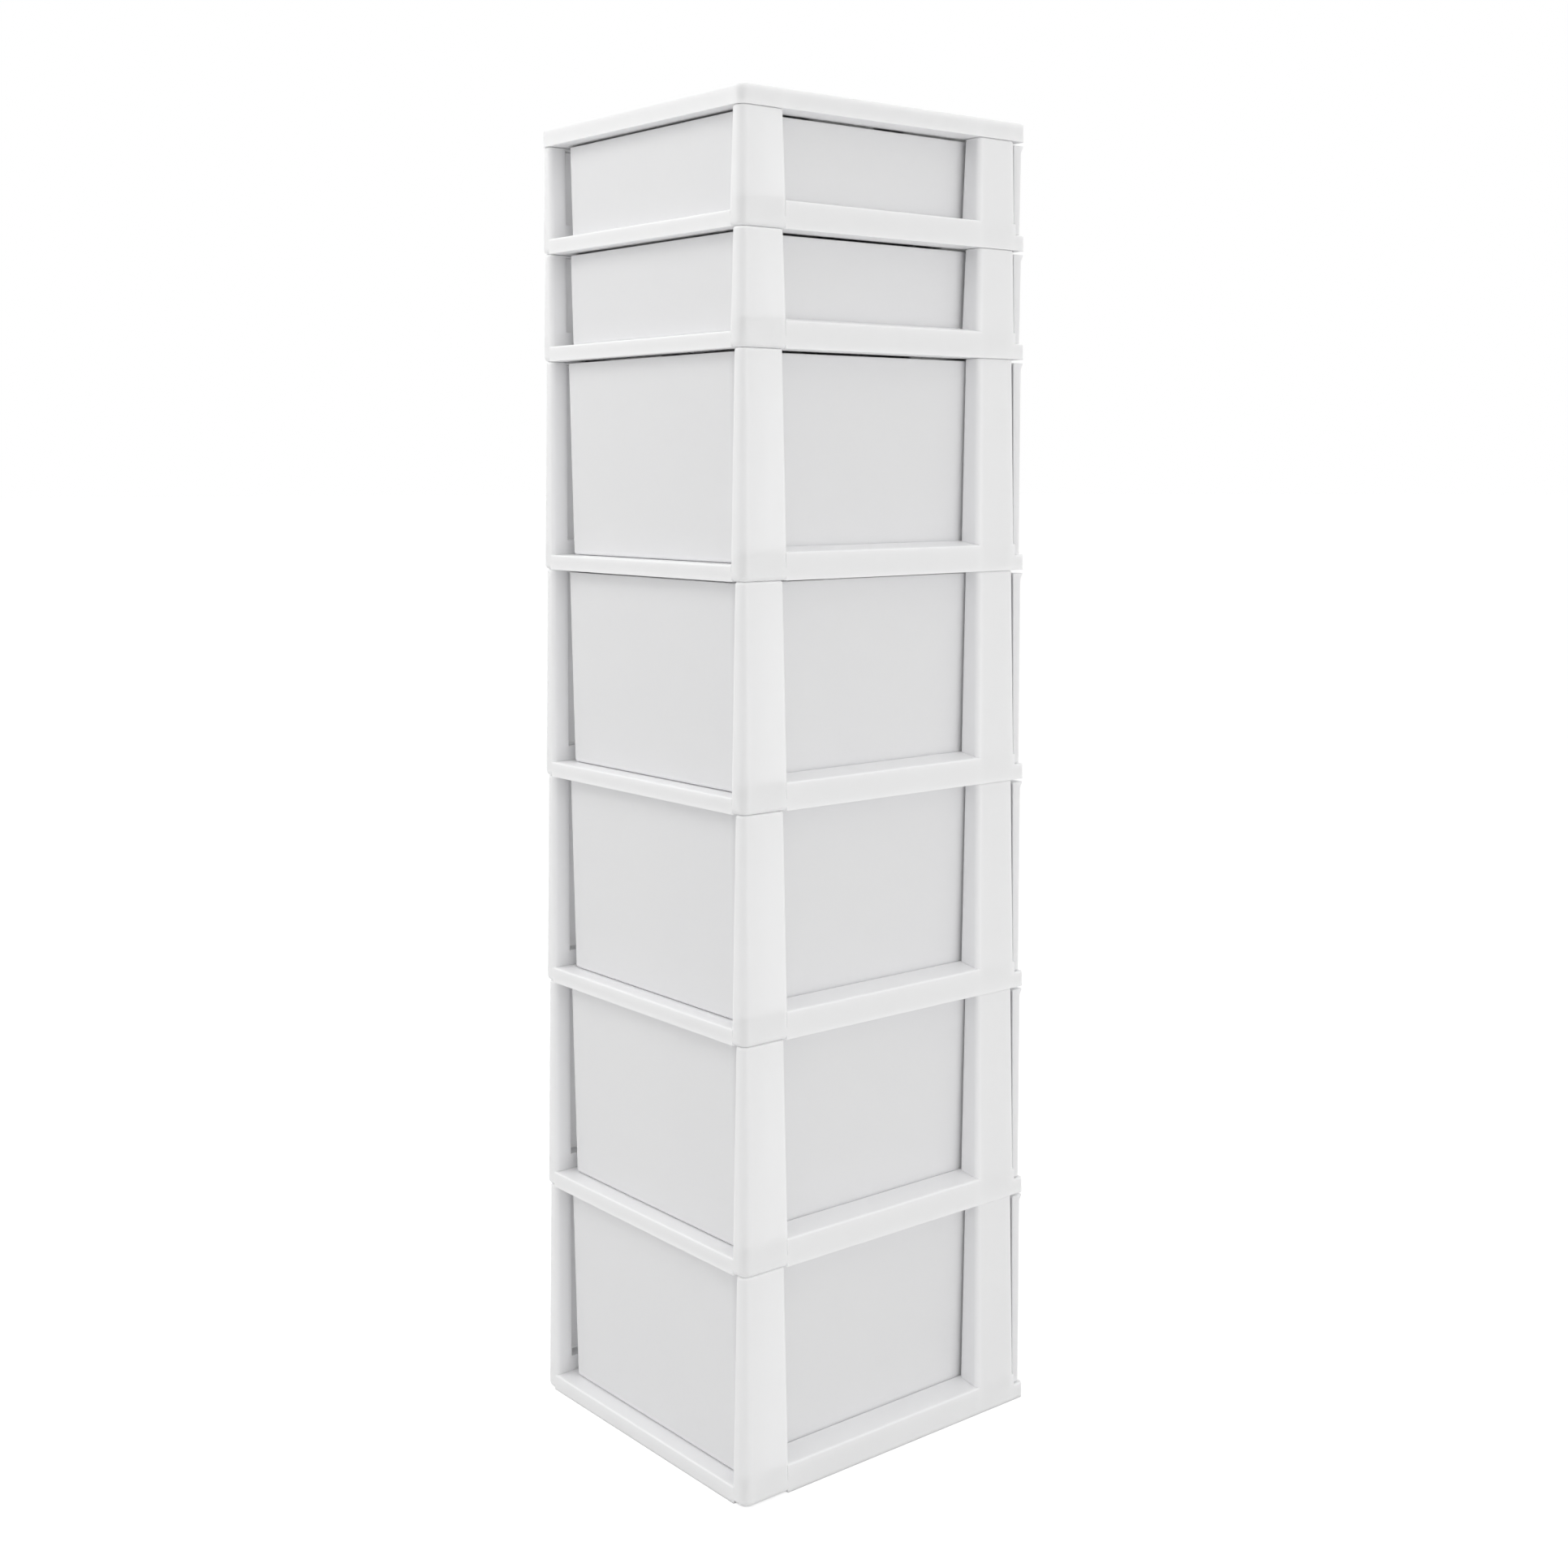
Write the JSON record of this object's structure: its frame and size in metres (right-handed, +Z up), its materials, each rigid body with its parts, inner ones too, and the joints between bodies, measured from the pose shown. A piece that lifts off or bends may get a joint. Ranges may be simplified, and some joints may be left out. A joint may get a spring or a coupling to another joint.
{
  "type": "plastic drawer tower",
  "caption": "Tall free-standing tower of stacked moulded plastic frames under a flat lid, each frame with open windows and one sliding drawer with a pull lip.",
  "frame": {"origin": "centre of the footprint on the floor", "axes": "+Z up; the drawers face -Y and pull out towards it"},
  "size_m": [0.275, 0.3, 1.07],
  "materials": {
    "frame_plastic": "satin moulded white polypropylene",
    "drawer_plastic": "milky satin moulded polypropylene"
  },
  "bodies": {
    "tower": {"deep_frame_1": "frame_plastic", "deep_frame_2": "frame_plastic", "deep_frame_3": "frame_plastic", "deep_frame_4": "frame_plastic", "deep_frame_5": "frame_plastic", "shallow_frame_1": "frame_plastic", "shallow_frame_2": "frame_plastic", "top_lid": "frame_plastic"},
    "deep_drawer_1": {"deep_drawer_1": "drawer_plastic"},
    "deep_drawer_2": {"deep_drawer_2": "drawer_plastic"},
    "deep_drawer_3": {"deep_drawer_3": "drawer_plastic"},
    "deep_drawer_4": {"deep_drawer_4": "drawer_plastic"},
    "deep_drawer_5": {"deep_drawer_5": "drawer_plastic"},
    "shallow_drawer_1": {"shallow_drawer_1": "drawer_plastic"},
    "shallow_drawer_2": {"shallow_drawer_2": "drawer_plastic"}
  },
  "joints": [
    {"name": "deep_drawer_1_slide", "type": "slide", "parent": "tower", "child": "deep_drawer_1", "axis": [0, -1, 0], "range_m": [0, 0.207]},
    {"name": "deep_drawer_2_slide", "type": "slide", "parent": "tower", "child": "deep_drawer_2", "axis": [0, -1, 0], "range_m": [0, 0.207]},
    {"name": "deep_drawer_3_slide", "type": "slide", "parent": "tower", "child": "deep_drawer_3", "axis": [0, -1, 0], "range_m": [0, 0.207]},
    {"name": "deep_drawer_4_slide", "type": "slide", "parent": "tower", "child": "deep_drawer_4", "axis": [0, -1, 0], "range_m": [0, 0.207]},
    {"name": "deep_drawer_5_slide", "type": "slide", "parent": "tower", "child": "deep_drawer_5", "axis": [0, -1, 0], "range_m": [0, 0.207]},
    {"name": "shallow_drawer_1_slide", "type": "slide", "parent": "tower", "child": "shallow_drawer_1", "axis": [0, -1, 0], "range_m": [0, 0.207]},
    {"name": "shallow_drawer_2_slide", "type": "slide", "parent": "tower", "child": "shallow_drawer_2", "axis": [0, -1, 0], "range_m": [0, 0.207]}
  ]
}
